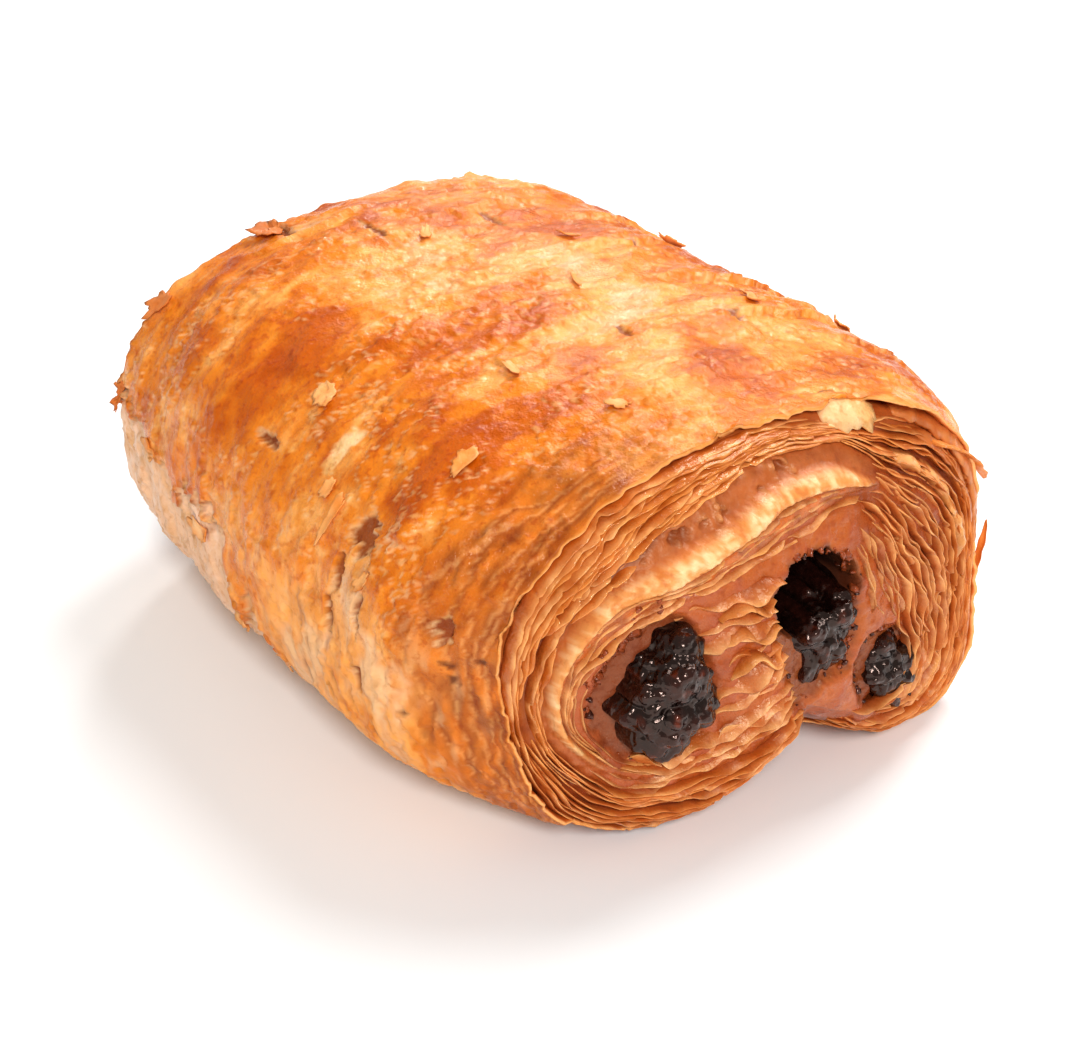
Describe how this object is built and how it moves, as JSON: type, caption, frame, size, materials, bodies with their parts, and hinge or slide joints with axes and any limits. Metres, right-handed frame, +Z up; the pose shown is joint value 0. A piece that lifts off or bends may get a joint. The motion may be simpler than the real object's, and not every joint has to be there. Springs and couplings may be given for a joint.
{
  "type": "pain au chocolat",
  "caption": "Baked roll of laminated pastry with flaky scrolled ends, wrapped round batons of dark chocolate that show at both ends.",
  "frame": {"origin": "centre of the bounding box in plan, on the surface the pastry rests on", "axes": "+Z up; Y along the roll, with the end whose scrolls show in the picture at -Y; X across the roll"},
  "size_m": [0.0957, 0.1212, 0.0576],
  "materials": {
    "pastry": "baked laminated dough, golden brown crust with an egg wash sheen and paler, matt layers at the ends",
    "chocolate": "dark baked chocolate, crumbly and wet looking"
  },
  "bodies": {
    "root": {"pastry": "pastry", "chocolate_left": "chocolate", "chocolate_middle": "chocolate", "chocolate_right": "chocolate"}
  },
  "joints": []
}
